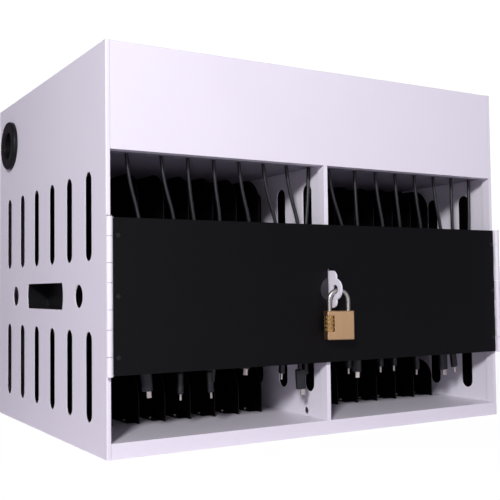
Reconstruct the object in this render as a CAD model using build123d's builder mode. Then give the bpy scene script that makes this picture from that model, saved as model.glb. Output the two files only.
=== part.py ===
# Charging cabinet: a white sheet steel cabinet for sixteen small devices, with a black lockable
# door panel across its open front and a brass combination padlock on its lock tab.
# The frame is millimetres, X to the right, Y to the back, Z up, origin at the centre of the base.
from math import cos, radians, sin, tan, pi
import os

from build123d import *

os.makedirs("parts", exist_ok=True)

# Driving dimensions of the cabinet shell
cabinet_width = 514.0
cabinet_depth = 386.0
cabinet_height = 400.0
sheet = 1.2
floor_height = 15.0
fascia_height = 105.5
hem_width = 4.3
hem_depth = 12.0
corner_radius = 1.6
rear_flange = 13.0
sheet_gap = 0.2

# Ventilation slots, handle recesses and round holes in the side panels
slot_width = 18.0
slot_length = 89.0
slot_pitch = 58.0
slot_count = 6
lower_slot_height = 74.0
upper_slot_height = 233.0
handle_length = 127.0
handle_height = 29.0
handle_level = 153.5
handle_end_rise = 3.0
cup_wall = 1.6
cup_depth = 26.0
cup_flange = 5.0
side_hole_radius = 12.0
side_hole_spread = 116.0

# Cable grommet in the left side
grommet_back_distance = 54.0
grommet_drop = 53.5
grommet_flange_radius = 30.5
grommet_body_radius = 25.0
grommet_bore_radius = 17.0
grommet_proud = 5.6
grommet_inside = 12.0

# Centre divider and its lock tab
divider_hem_width = 5.0
divider_foot = 8.0
divider_slot_pitch = 54.5
divider_slot_bottom = 43.0
divider_slot_top = 277.5
divider_hole_radius = 4.0
tab_thickness = 2.0
tab_height = 40.4
tab_reach = 17.3
tab_corner = 7.0
tab_level = 157.7
tab_eye_reach = 14.7
tab_eye_radius = 11.7
tab_hole_reach = 15.4
tab_hole_radius = 5.0

# Door panel, its slot for the tab and its riveted leaves
door_edge_gap = 1.35
door_height = 149.9
door_bottom = 78.6
door_thickness = 1.5
door_standoff = 4.05
door_corner = 1.5
door_slot_width = 6.0
door_slot_margin = 1.6
wear_disc_radius = 13.0
wear_disc_thickness = 0.4
leaf_thickness = 1.0
leaf_width = 15.0
rivet_inset = 2.9
rivet_radius = 2.6
rivet_height = 0.8
rivet_shank_radius = 1.5
rivet_end_margin = 17.2

# Hinges: knuckles on the door and on the cabinet take turns along one line
knuckle_radius = 3.25
pin_radius = 1.6
pin_clearance = 0.1
hinge_inset = 0.7
knuckle_gap = 0.4
short_knuckle = 18.9
long_knuckle = 25.3
web_thickness = 1.4
pin_head_radius = 2.6
pin_head_height = 1.0

# Shelf under the power compartment
shelf_flange = 12.0
cable_slot_length = 18.0
cable_slot_width = 7.0
cable_slot_setback = 28.0
first_cable = 24.0
second_cable = 62.0
cable_pitch = 30.6
cables_per_bay = 8
bay_margin = 8.0
cable_from_slot_end = 2.5

# Device dividers that stand on the floor of each bay
plate_thickness = 1.0
plate_height = 120.0
plate_front_setback = 96.0
plate_back_setback = 14.0
plate_foot = 10.0
plate_upright = 25.0
plate_bend_radius = 35.0
plate_bend_turn = 50.0
plate_pitch = 31.0
plates_per_bay = 7
left_plate_margin = 43.0
right_first_plate = 52.0
foot_screw_radius = 2.6
foot_screw_height = 1.2

# Charging hubs and power supply above the shelf
hub_length = 232.0
hub_depth = 58.0
hub_height = 24.0
hub_clearance = 15.0
hub_leg = 9.0
socket_length = 13.0
socket_width = 7.5
socket_depth = 1.0
supply_length = 236.0
supply_depth = 118.0
supply_height = 46.0
supply_back_gap = 70.0

# Cables and their plugs
cable_diameter = 4.0
overmould_width = 11.5
overmould_thickness = 6.5
overmould_length = 22.0
plug_width = 8.3
plug_thickness = 2.6
plug_length = 6.7
plug_wall = 0.35
bend_share = 0.45

# Padlock
lock_width = 30.7
lock_height = 31.0
lock_thickness = 13.0
lock_corner = 1.2
lock_turn = -16.0
lock_offset_x = 2.4
lock_from_eye = 1.6
lock_bottom = 103.5
shackle_wire = 5.0
shackle_legs = 21.5
shackle_drop = 1.1
long_leg_depth = 26.0
short_leg_depth = 6.0
shackle_clearance = 0.25
dial_count = 4
dial_pitch = 4.4
dial_thickness = 3.3
dial_radius = 5.4
dial_level = 127.6
dial_clearance = 0.15
dial_window = 9.2

# Places worked out from the driving dimensions
half_width = cabinet_width / 2
half_depth = cabinet_depth / 2
front = -half_depth
inner_wall = half_width - sheet
fascia_bottom = cabinet_height - fascia_height
shelf_bottom = fascia_bottom + sheet
cut_depth = 1 + 2 * sheet
cover_half = inner_wall - sheet_gap
fascia_half = half_width - hem_width - sheet_gap
tray_step = front + hem_depth + sheet_gap
tray_back = half_depth - 2 * sheet - sheet_gap
cover_back = half_depth - sheet - sheet_gap
shelf_top = shelf_bottom + sheet
hinge_x = half_width - hinge_inset
door_half = hinge_x - knuckle_radius - door_edge_gap
door_width = 2 * door_half
door_back = front - door_standoff
door_front = door_back - door_thickness
door_middle = door_bottom + door_height / 2
hinge_y = door_back + leaf_thickness - knuckle_radius
cable_line = front + cable_slot_setback
grommet_level = cabinet_height - grommet_drop
bay_pitch = half_width - bay_margin
left_first_plate = left_plate_margin - half_width
hub_bottom = shelf_top + hub_clearance
overmould_and_plug = overmould_length + plug_length


def save(name, builder):
    builder.part.label = name
    export_step(builder.part, f"parts/{name}.step")


# Base tray: an upside-down pan whose turned-down edges stand on the table
with BuildPart() as base_tray:
    with BuildSketch(Plane.XY):
        with Locations((0, (tray_step + tray_back) / 2)):
            Rectangle(2 * (inner_wall - sheet_gap), tray_back - tray_step)
        with Locations((0, (front + sheet + tray_back) / 2)):
            Rectangle(2 * fascia_half, tray_back - front - sheet)
    extrude(amount=floor_height)
    offset(amount=-sheet, openings=base_tray.faces().sort_by(Axis.Z)[0], kind=Kind.INTERSECTION)
    with BuildSketch(Plane.XZ.offset(half_depth)):
        with Locations((0, floor_height / 2)):
            Rectangle(2 * fascia_half, floor_height)
    extrude(amount=-sheet)
save("base_tray", base_tray)

# Base plate: a flat sheet that closes the tray underneath, between its turned-down edges
with BuildPart() as base_plate:
    with BuildSketch(Plane.XY):
        with Locations((0, (tray_step + tray_back) / 2)):
            Rectangle(2 * (cover_half - sheet - sheet_gap), tray_back - tray_step - 2 * (sheet + sheet_gap))
    extrude(amount=sheet)
save("base_plate", base_plate)


# The handle recess has straight long sides and short ends that bow outwards
def handle_outline(plane, grow):
    half_length = handle_length / 2 + grow
    half_rise = handle_height / 2 + grow
    upper = handle_level + half_rise
    lower = handle_level - half_rise
    with BuildSketch(plane) as outline:
        with BuildLine():
            Line((-half_length, upper), (half_length, upper))
            ThreePointArc((half_length, upper), (half_length + handle_end_rise, handle_level), (half_length, lower))
            Line((half_length, lower), (-half_length, lower))
            ThreePointArc((-half_length, lower), (-half_length - handle_end_rise, handle_level), (-half_length, upper))
        make_face()
    return outline.sketch


# Side panels: one wall each, folded to a narrow hem at the front and a flange at the back
def side_panel(side, has_cable_entry):
    outer = side * half_width
    inner = side * inner_wall
    hem_edge = side * (half_width - hem_width)
    cut_start = Plane.YZ.offset(outer + side)
    recess = handle_outline(cut_start, 0)
    with BuildPart() as panel:
        with BuildSketch(Plane.XY):
            with BuildLine():
                Polyline(
                    (outer, front),
                    (hem_edge, front),
                    (hem_edge, front + hem_depth),
                    (hem_edge + side * sheet, front + hem_depth),
                    (hem_edge + side * sheet, front + sheet),
                    (inner, front + sheet),
                    (inner, half_depth - 2 * sheet),
                    (inner - side * rear_flange, half_depth - 2 * sheet),
                    (inner - side * rear_flange, half_depth - sheet),
                    (outer, half_depth - sheet),
                    close=True,
                )
            make_face()
        extrude(amount=cabinet_height)
        front_corner = panel.edges().filter_by(Axis.Z).sort_by(
            lambda edge: (edge.center() - Vector(outer, front, cabinet_height / 2)).length
        )[0]
        fillet(front_corner, corner_radius * 0.7)
        slots_y = [slot_pitch * (i - (slot_count - 1) / 2) for i in range(slot_count)]
        with BuildSketch(cut_start):
            for level in (lower_slot_height, upper_slot_height):
                with Locations(*[(y, level) for y in slots_y]):
                    SlotOverall(slot_length, slot_width, rotation=90)
            with Locations((-side_hole_spread, handle_level), (side_hole_spread, handle_level)):
                Circle(side_hole_radius)
            if has_cable_entry:
                with Locations((half_depth - grommet_back_distance, grommet_level)):
                    Circle(grommet_body_radius + sheet_gap)
        extrude(amount=-side * cut_depth, mode=Mode.SUBTRACT)
        extrude(recess, amount=-side * cut_depth, mode=Mode.SUBTRACT)
        with BuildSketch(Plane.XY.offset(cabinet_height)):
            with Locations((inner - side * rear_flange / 2, half_depth - 1.5 * sheet)):
                Rectangle(rear_flange, sheet)
        extrude(amount=-(sheet + sheet_gap), mode=Mode.SUBTRACT)
    return panel


left_side_panel = side_panel(-1, True)
save("left_side_panel", left_side_panel)
right_side_panel = side_panel(1, False)
save("right_side_panel", right_side_panel)


# Handle cups: black moulded recesses with a flange against the inside of the wall
def handle_cup(side):
    wall_face = Plane.YZ.offset(side * inner_wall)
    flange = handle_outline(wall_face, cup_flange)
    shell = handle_outline(wall_face, cup_wall)
    hollow = handle_outline(wall_face, 0)
    with BuildPart() as cup:
        extrude(flange, amount=-side * cup_wall)
        extrude(shell, amount=-side * cup_depth)
        extrude(hollow, amount=-side * (cup_depth - cup_wall), mode=Mode.SUBTRACT)
    return cup


save("left_handle_cup", handle_cup(-1))
save("right_handle_cup", handle_cup(1))

# Cable grommet: a flanged black collar in the left side, turned about its own axis
with BuildPart() as cable_grommet:
    grommet_place = Plane(
        origin=(-half_width, half_depth - grommet_back_distance, grommet_level), x_dir=(0, 1, 0), z_dir=(-1, 0, 0)
    )
    with BuildSketch(grommet_place):
        Circle(grommet_flange_radius)
    extrude(amount=grommet_proud)
    fillet(cable_grommet.edges().filter_by(GeomType.CIRCLE).sort_by(Axis.X)[0], grommet_proud * 0.45)
    with BuildSketch(grommet_place):
        Circle(grommet_body_radius)
    extrude(amount=-grommet_inside)
    with BuildSketch(grommet_place.offset(grommet_proud)):
        Circle(grommet_bore_radius)
    extrude(amount=-(grommet_proud + grommet_inside), mode=Mode.SUBTRACT)
    chamfer(cable_grommet.edges().filter_by(GeomType.CIRCLE).group_by(Axis.X)[0].sort_by(SortBy.RADIUS)[0], 2.0)
save("cable_grommet", cable_grommet)

# Top cover: the roof and the fascia are one folded sheet, with a lip under the fascia
with BuildPart() as top_cover:
    with BuildSketch(Plane.XY.offset(cabinet_height - sheet)):
        with Locations((0, (front + cover_back) / 2)):
            Rectangle(2 * fascia_half, cover_back - front)
        with Locations((0, (tray_step + cover_back) / 2)):
            Rectangle(2 * cover_half, cover_back - tray_step)
    extrude(amount=sheet)
    with BuildSketch(Plane.XY.offset(fascia_bottom)):
        with Locations((0, front + sheet / 2)):
            Rectangle(2 * fascia_half, sheet)
    extrude(amount=fascia_height)
    with BuildSketch(Plane.XY.offset(fascia_bottom)):
        with Locations((0, front + hem_depth / 2)):
            Rectangle(2 * fascia_half, hem_depth)
    extrude(amount=sheet)
    front_top = top_cover.edges().filter_by(Axis.X).sort_by(
        lambda edge: (edge.center() - Vector(0, front, cabinet_height)).length
    )[0]
    fillet(front_top, corner_radius * 0.7)
save("top_cover", top_cover)

# Back panel: a flat sheet on the side flanges, with a row of vents for the power compartment
vent_count = 12
vent_pitch = 30.0
vent_height = 42.0
vent_level = cabinet_height - fascia_height / 2
with BuildPart() as back_panel:
    with BuildSketch(Plane.XZ.offset(-half_depth)):
        with Locations((0, cabinet_height / 2)):
            Rectangle(cabinet_width, cabinet_height)
        with Locations((0, vent_level)):
            with GridLocations(vent_pitch, 1, vent_count, 1):
                SlotOverall(vent_height, 6.0, rotation=90, mode=Mode.SUBTRACT)
    extrude(amount=sheet)
save("back_panel", back_panel)

# Centre divider: a slotted wall with a boxed front edge, feet at floor and shelf, and the lock tab
divider_back = half_depth - sheet
foot_front = front + hem_depth + divider_foot / 2
tab_root = front + hem_depth - sheet / 2
with BuildPart() as centre_divider:
    with BuildSketch(Plane.XY.offset(floor_height)):
        with Locations((0, (front + hem_depth + divider_back) / 2)):
            Rectangle(sheet, divider_back - front - hem_depth)
        with Locations((0, front + hem_depth / 2)):
            Rectangle(divider_hem_width, hem_depth)
            Rectangle(divider_hem_width - 2 * sheet, hem_depth - 2 * sheet, mode=Mode.SUBTRACT)
    extrude(amount=shelf_bottom - floor_height)
    with BuildSketch(Plane.XY.offset(floor_height)):
        with Locations((divider_foot / 2, (foot_front + divider_back) / 2)):
            Rectangle(divider_foot, divider_back - foot_front)
    extrude(amount=sheet)
    with BuildSketch(Plane.XY.offset(shelf_bottom)):
        with Locations((divider_foot / 2, (foot_front + divider_back) / 2)):
            Rectangle(divider_foot, divider_back - foot_front)
    extrude(amount=-sheet)
    # The fascia's lip and the hem meet at the front, so the hem is notched for the lip
    with BuildSketch(Plane.XY.offset(fascia_bottom)):
        with Locations((0, front + hem_depth / 2)):
            Rectangle(divider_hem_width, hem_depth)
    extrude(amount=sheet, mode=Mode.SUBTRACT)
    slot_rise = slot_length - 14.0
    with BuildSketch(Plane.YZ.offset(-sheet)):
        rows = [divider_slot_bottom + slot_rise / 2, divider_slot_top - slot_rise / 2]
        for level in rows:
            with Locations(*[(front + 36.0 + divider_slot_pitch * i, level) for i in range(slot_count)]):
                SlotOverall(slot_rise, slot_width, rotation=90)
        with Locations((front + 43.0, floor_height + sheet + divider_hole_radius + 0.6)):
            Circle(divider_hole_radius)
    extrude(amount=2 * sheet, mode=Mode.SUBTRACT)
    with BuildSketch(Plane.YZ.offset(-tab_thickness / 2)):
        with Locations(((tab_root + front - tab_reach) / 2, tab_level)):
            RectangleRounded(tab_root - front + tab_reach, tab_height, tab_corner)
        with Locations((tab_root - tab_corner, tab_level)):
            Rectangle(2 * tab_corner, tab_height)
        with Locations((front - tab_eye_reach, tab_level)):
            Circle(tab_eye_radius)
        with Locations((front - tab_hole_reach, tab_level)):
            Circle(tab_hole_radius, mode=Mode.SUBTRACT)
    extrude(amount=tab_thickness)
save("centre_divider", centre_divider)

# Power shelf: the underside of the power compartment, with one slot for each cable
cable_offsets = [first_cable] + [second_cable + cable_pitch * i for i in range(cables_per_bay - 1)]
cable_x = [offset - bay_pitch for offset in cable_offsets] + cable_offsets
slot_shift = cable_slot_length / 2 - cable_from_slot_end
with BuildPart() as power_shelf:
    with BuildSketch(Plane.XY.offset(shelf_bottom)):
        with Locations((0, (front + sheet + sheet_gap + divider_back) / 2)):
            Rectangle(2 * fascia_half, divider_back - front - sheet - sheet_gap)
        with Locations((0, (front + hem_depth + sheet_gap + half_depth - 2 * sheet) / 2)):
            Rectangle(2 * inner_wall, half_depth - 2 * sheet - front - hem_depth - sheet_gap)
    extrude(amount=sheet)
    with BuildSketch(Plane.XY.offset(shelf_top)):
        for side in (-1, 1):
            with Locations((side * (inner_wall - sheet / 2), 0)):
                Rectangle(sheet, cabinet_depth - 4 * hem_depth)
    extrude(amount=shelf_flange)
    with BuildSketch(Plane.XY.offset(shelf_bottom)):
        with Locations(*[(x - slot_shift, cable_line) for x in cable_x]):
            SlotOverall(cable_slot_length, cable_slot_width)
        for side in (-1, 1):
            with Locations((side * (inner_wall - rear_flange / 2), half_depth - 1.5 * sheet)):
                Rectangle(rear_flange, 3 * sheet)
    extrude(amount=sheet, mode=Mode.SUBTRACT)
save("power_shelf", power_shelf)


# Device dividers: black plates with a foot screwed to the floor and a swept-back front edge
def divider_plates(first_x):
    plate_front = front + plate_front_setback
    plate_back = half_depth - plate_back_setback
    upright_top = floor_height + plate_upright
    turn = radians(plate_bend_turn)
    bend_y = plate_front + plate_bend_radius * (1 - cos(turn))
    bend_z = upright_top + plate_bend_radius * sin(turn)
    plate_top = floor_height + plate_height
    slope_y = bend_y + (plate_top - bend_z) * tan(turn)
    with BuildPart() as plates:
        for i in range(plates_per_bay):
            x = first_x + plate_pitch * i
            with BuildSketch(Plane.YZ.offset(x - plate_thickness / 2)):
                with BuildLine():
                    Line((plate_back, floor_height), (plate_front, floor_height))
                    Line((plate_front, floor_height), (plate_front, upright_top))
                    ThreePointArc(
                        (plate_front, upright_top),
                        (
                            plate_front + plate_bend_radius * (1 - cos(turn / 2)),
                            upright_top + plate_bend_radius * sin(turn / 2),
                        ),
                        (bend_y, bend_z),
                    )
                    Line((bend_y, bend_z), (slope_y, plate_top))
                    Line((slope_y, plate_top), (plate_back, plate_top))
                    Line((plate_back, plate_top), (plate_back, floor_height))
                make_face()
            extrude(amount=plate_thickness)
            with BuildSketch(Plane.XY.offset(floor_height)):
                with Locations((x - plate_foot / 2, (plate_front + plate_back) / 2)):
                    Rectangle(plate_foot, plate_back - plate_front - 2 * plate_foot)
            extrude(amount=plate_thickness)
    return plates


save("left_bay_plates", divider_plates(left_first_plate))
save("right_bay_plates", divider_plates(right_first_plate))

# Floor screws: two through the foot of each plate
with BuildPart() as plate_screws:
    screw_x = [first + plate_pitch * i - plate_foot / 2 for first in (left_first_plate, right_first_plate)
               for i in range(plates_per_bay)]
    screw_y = [front + plate_front_setback + 3 * plate_foot, half_depth - plate_back_setback - 3 * plate_foot]
    with BuildSketch(Plane.XY.offset(floor_height + plate_thickness)):
        with Locations(*[(x, y) for x in screw_x for y in screw_y]):
            Circle(foot_screw_radius)
    extrude(amount=foot_screw_height)
save("plate_screws", plate_screws)

# Hinge knuckles from the top down: the short ones are the door's, the long ones the cabinet's
knuckle_lengths = [short_knuckle, long_knuckle] * 3 + [short_knuckle]
stack_height = sum(knuckle_lengths)
stack_top = door_middle + stack_height / 2
knuckles = []
level = stack_top
for length in knuckle_lengths:
    knuckles.append((level - length, length))
    level = level - length
door_knuckles = knuckles[0::2]
cabinet_knuckles = knuckles[1::2]


# Cabinet knuckles: rolled barrels on webs that are welded to the front edge of the side panel
def fixed_knuckles(side):
    with BuildPart() as barrels:
        for bottom, length in cabinet_knuckles:
            with BuildSketch(Plane.XY.offset(bottom + knuckle_gap / 2)):
                with Locations((side * hinge_x, hinge_y)):
                    Circle(knuckle_radius)
                with Locations((side * (hinge_x - web_thickness / 2), (hinge_y + front) / 2)):
                    Rectangle(web_thickness, front - hinge_y)
                with Locations((side * hinge_x, hinge_y)):
                    Circle(pin_radius + pin_clearance, mode=Mode.SUBTRACT)
            extrude(amount=length - knuckle_gap)
    return barrels


save("left_fixed_knuckles", fixed_knuckles(-1))
save("right_fixed_knuckles", fixed_knuckles(1))


# Door leaves: a flat strip behind the door, riveted on, whose fingers roll into the barrels
def door_leaf(side):
    strip_edge = hinge_x - knuckle_radius - 3 * knuckle_gap
    with BuildPart() as leaf:
        with BuildSketch(Plane.XY.offset(door_bottom)):
            with Locations((side * (strip_edge - leaf_width / 2), door_back + leaf_thickness / 2)):
                Rectangle(leaf_width, leaf_thickness)
        extrude(amount=door_height)
        for bottom, length in door_knuckles:
            with BuildSketch(Plane.XY.offset(bottom + knuckle_gap / 2)):
                with Locations((side * hinge_x, hinge_y)):
                    Circle(knuckle_radius)
                with Locations((side * (hinge_x + strip_edge) / 2, door_back + leaf_thickness / 2)):
                    Rectangle(hinge_x - strip_edge, leaf_thickness)
                with Locations((side * hinge_x, hinge_y)):
                    Circle(pin_radius + pin_clearance, mode=Mode.SUBTRACT)
            extrude(amount=length - knuckle_gap)
        with BuildSketch(Plane.XZ.offset(-door_back - leaf_thickness)):
            with Locations(*[(side * rivet_x, z) for z in rivet_levels]):
                Circle(rivet_shank_radius)
        extrude(amount=leaf_thickness, mode=Mode.SUBTRACT)
    return leaf


rivet_x = door_half - rivet_inset - rivet_radius / 2
rivet_levels = [door_bottom + rivet_end_margin, door_middle, door_bottom + door_height - rivet_end_margin]
left_door_leaf = door_leaf(-1)
save("left_door_leaf", left_door_leaf)
save("right_door_leaf", door_leaf(1))

# Hinge pin: a loose steel pin with a head, fitted on the left only
with BuildPart() as hinge_pin:
    with BuildSketch(Plane.XY.offset(stack_top - stack_height)):
        with Locations((-hinge_x, hinge_y)):
            Circle(pin_radius)
    extrude(amount=stack_height)
    with BuildSketch(Plane.XY.offset(stack_top)):
        with Locations((-hinge_x, hinge_y)):
            Circle(pin_head_radius)
    extrude(amount=pin_head_height)
save("hinge_pin", hinge_pin)

# Door panel: one flat black sheet with a slot that the lock tab comes through
with BuildPart() as door_panel:
    with BuildSketch(Plane.XZ.offset(-door_back)):
        with Locations((0, door_middle)):
            RectangleRounded(door_width, door_height, door_corner)
        with Locations((0, tab_level)):
            SlotOverall(
                tab_height + 2 * door_slot_margin + door_slot_width / 2,
                door_slot_width,
                rotation=90,
                mode=Mode.SUBTRACT,
            )
        with Locations(*[(side * rivet_x, z) for side in (-1, 1) for z in rivet_levels]):
            Circle(rivet_shank_radius, mode=Mode.SUBTRACT)
    extrude(amount=door_thickness)
save("door_panel", door_panel)

# Wear disc: a thin round guard on the door, around the slot, that the padlock knocks against
with BuildPart() as wear_disc:
    with BuildSketch(Plane.XZ.offset(-door_front)):
        with Locations((0, tab_level)):
            Circle(wear_disc_radius)
            Rectangle(door_slot_width, 2.2 * wear_disc_radius, mode=Mode.SUBTRACT)
    extrude(amount=wear_disc_thickness)
save("wear_disc", wear_disc)

# Door rivets: a domed head in front, a shank through door and leaf, a low head behind
with BuildPart() as door_rivets:
    rivet_places = [(side * rivet_x, z) for side in (-1, 1) for z in rivet_levels]
    with BuildSketch(Plane.XZ.offset(-door_front)):
        with Locations(*rivet_places):
            Circle(rivet_radius)
    extrude(amount=rivet_height, taper=25)
    with BuildSketch(Plane.XZ.offset(-door_front)):
        with Locations(*rivet_places):
            Circle(rivet_shank_radius)
    extrude(amount=-(door_thickness + leaf_thickness))
    with BuildSketch(Plane.XZ.offset(-door_back - leaf_thickness)):
        with Locations(*rivet_places):
            Circle(rivet_radius)
    extrude(amount=-rivet_height / 2)
save("door_rivets", door_rivets)


# Charging hubs: one box for each bay, on two legs over the cable slots, sockets facing down
def charging_hub(first_x, last_x):
    middle_x = (first_x + last_x) / 2
    with BuildPart() as hub:
        with BuildSketch(Plane.XY.offset(hub_bottom)):
            with Locations((middle_x, cable_line)):
                RectangleRounded(hub_length, hub_depth - 12.0, 3.0)
        extrude(amount=hub_height)
        fillet(hub.faces().sort_by(Axis.Z)[-1].edges(), 2.0)
        with BuildSketch(Plane.XY.offset(shelf_top)):
            for x in (first_x + cable_pitch / 2 + 4.0, last_x - cable_pitch / 2 - 2.0):
                with Locations((x, cable_line + hub_depth / 4)):
                    Rectangle(hub_leg, hub_leg)
        extrude(amount=hub_clearance)
    return hub


left_hub = charging_hub(cable_x[0], cable_x[cables_per_bay - 1])
save("left_charging_hub", left_hub)
right_hub = charging_hub(cable_x[cables_per_bay], cable_x[-1])
save("right_charging_hub", right_hub)

# Power supply: a vented metal box on the shelf, behind the hubs
with BuildPart() as power_supply:
    with BuildSketch(Plane.XY.offset(shelf_top)):
        with Locations((0, half_depth - supply_back_gap - supply_depth / 2)):
            RectangleRounded(supply_length, supply_depth, 2.0)
    extrude(amount=supply_height)
    with BuildSketch(Plane.XY.offset(shelf_top + supply_height)):
        with Locations((0, half_depth - supply_back_gap - supply_depth / 2)):
            with GridLocations(11.0, 1, 14, 1):
                SlotOverall(supply_depth * 0.6, 4.0, rotation=90)
    extrude(amount=-1.0, mode=Mode.SUBTRACT)
save("power_supply", power_supply)

# Cable routes: hub, shelf slot, a loose hang behind the door, then the top of the plug's grip.
# Each row is a list of x, y, z points and the angle by which the plug is turned about the cable.
hub_z = hub_bottom
cable_routes = [
    ([(cable_x[0], cable_line, hub_z), (cable_x[0], cable_line, 280), (-208.5, -167, 222), (-214, -171, 172), (-211, -172, 124), (-207, -170, 80.5)], -31),
    ([(cable_x[1], cable_line, hub_z), (cable_x[1], cable_line, 280), (-169, -167, 222), (-174, -163, 172), (-166, -164, 124), (-166.5, -165, 75)], 60),
    ([(cable_x[2], cable_line, hub_z), (cable_x[2], cable_line, 280), (-147, -163, 222), (-139, -168, 172), (-141, -171, 124), (-136, -170, 75)], 60),
    ([(cable_x[3], cable_line, hub_z), (cable_x[3], cable_line, 280), (-115.5, -164, 222), (-121, -158, 172), (-117, -152, 126), (-120.5, -150, 83)], 75),
    ([(cable_x[4], cable_line, hub_z), (cable_x[4], cable_line, 280), (-79, -165, 222), (-84, -161, 174), (-81, -159, 135), (-85.5, -160, 95.5)], -31),
    ([(cable_x[5], cable_line, hub_z), (cable_x[5], cable_line, 280), (-45, -166, 222), (-49, -170, 174), (-43, -171, 131), (-45, -170, 89)], 65),
    ([(cable_x[6], cable_line, hub_z), (cable_x[6], cable_line, 280), (-17, -168, 222), (-23, -171, 172), (-27, -173, 122), (-23.5, -172, 70.5)], -25),
    ([(cable_x[7], cable_line, hub_z), (cable_x[7], cable_line, 280), (-8, -164, 222), (-14, -160, 174), (-8.5, -159, 129), (-10, -161, 85.5)], 80),
    ([(cable_x[8], cable_line, hub_z), (cable_x[8], cable_line, 280), (45, -167, 222), (51, -171, 174), (44, -172, 131), (45, -170, 89.5)], 60),
    ([(cable_x[9], cable_line, hub_z), (cable_x[9], cable_line, 280), (66.5, -164, 222), (72, -162, 174), (63, -164, 128), (60.5, -165, 84)], -31),
    ([(cable_x[10], cable_line, hub_z), (cable_x[10], cable_line, 280), (106.5, -165, 222), (102, -160, 174), (101, -158, 131), (99.5, -160, 87.5)], 65),
    ([(cable_x[11], cable_line, hub_z), (cable_x[11], cable_line, 280), (132.5, -164, 222), (137, -158, 174), (129, -152, 130), (129.5, -150, 86.5)], 60),
    ([(cable_x[12], cable_line, hub_z), (cable_x[12], cable_line, 280), (166.5, -164, 222), (170, -158, 172), (162, -153, 126), (164, -151, 80)], 60),
    ([(cable_x[13], cable_line, hub_z), (cable_x[13], cable_line, 280), (197, -167, 222), (201, -166, 172), (195, -164, 125), (197, -163, 78.5)], -10),
    ([(cable_x[14], cable_line, hub_z), (cable_x[14], cable_line, 280), (217, -164, 222), (222, -159, 172), (214, -158, 126), (216.5, -160, 80.5)], 25),
    ([(cable_x[15], cable_line, hub_z), (cable_x[15], cable_line, 280), (244, -166, 222), (239, -160, 178), (243, -156, 144), (240.5, -154, 114.5)], 30),
]


# A bend's radius is as large as its shorter run allows
def bend_radii(points):
    radii = []
    for before, corner, after in zip(points, points[1:], points[2:]):
        into = Vector(*corner) - Vector(*before)
        out = Vector(*after) - Vector(*corner)
        half_turn = radians(into.get_angle(out)) / 2
        radii.append(bend_share * min(into.length, out.length) / tan(half_turn))
    return radii


plug_places = []
for number, (points, plug_turn) in enumerate(cable_routes, start=1):
    radii = bend_radii(points)
    with BuildPart() as cable:
        with BuildLine() as route:
            FilletPolyline(*points, radius=radii)
        with BuildSketch(Plane(origin=route.line @ 0, z_dir=route.line % 0)):
            Circle(cable_diameter / 2)
        sweep()
    save(f"cable_{number:02d}", cable)
    length = sum(edge.length for edge in route.edges())
    expected = pi * (cable_diameter / 2) ** 2 * length
    print(
        f"cable_{number:02d} length {length:.1f} radii",
        [round(radius) for radius in radii],
        f"volume over section times length {cable.part.volume / expected:.4f}",
    )
    axis = (Vector(*points[-1]) - Vector(*points[-2])).normalized()
    across = Vector(cos(radians(plug_turn)), sin(radians(plug_turn)), 0)
    across = (across - axis * across.dot(axis)).normalized()
    plug_places.append(Plane(origin=points[-1], x_dir=across, z_dir=axis))

# Plug grips: the moulded bodies that hold the cable ends, with softened edges
with BuildPart() as plug_grips:
    for place in plug_places:
        with BuildSketch(place):
            SlotOverall(overmould_width, overmould_thickness)
        extrude(amount=overmould_length)
save("plug_grips", plug_grips)

# Plug shells: the bright metal tongues that go into a device, open at the tip
with BuildPart() as plug_shells:
    for place in plug_places:
        with BuildSketch(place.offset(overmould_length)):
            SlotOverall(plug_width, plug_thickness)
        extrude(amount=plug_length)
    for place in plug_places:
        with BuildSketch(place.offset(overmould_and_plug)):
            SlotOverall(plug_width - 2 * plug_wall, plug_thickness - 2 * plug_wall)
        extrude(amount=-(plug_length - 1.0), mode=Mode.SUBTRACT)
save("plug_shells", plug_shells)

# Padlock: everything is placed in the lock's own frame, turned towards the left
lock_top = lock_bottom + lock_height
lock_offset_y = front - tab_hole_reach - lock_from_eye
shackle_level = tab_level - shackle_drop
crown_radius = shackle_legs / 2
leg_top = shackle_level - crown_radius
lock_place = Plane(origin=(lock_offset_x, lock_offset_y, 0), x_dir=(cos(radians(lock_turn)), sin(radians(lock_turn)), 0),
                   z_dir=(0, 0, 1))
lock_face = Plane(origin=lock_place.origin, x_dir=lock_place.x_dir, z_dir=-lock_place.y_dir)

# Shackle: a hardened steel bow, long leg on the dial side, short leg on the other
with BuildPart() as padlock_shackle:
    with BuildLine(lock_face) as bow:
        long_leg = Line((-crown_radius, lock_top - long_leg_depth), (-crown_radius, leg_top))
        crown = ThreePointArc((-crown_radius, leg_top), (0, leg_top + crown_radius), (crown_radius, leg_top))
        short_leg = Line((crown_radius, leg_top), (crown_radius, lock_top - short_leg_depth))
    with BuildSketch(Plane(origin=bow.line @ 0, z_dir=bow.line % 0)):
        Circle(shackle_wire / 2)
    sweep()
save("padlock_shackle", padlock_shackle)

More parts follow.
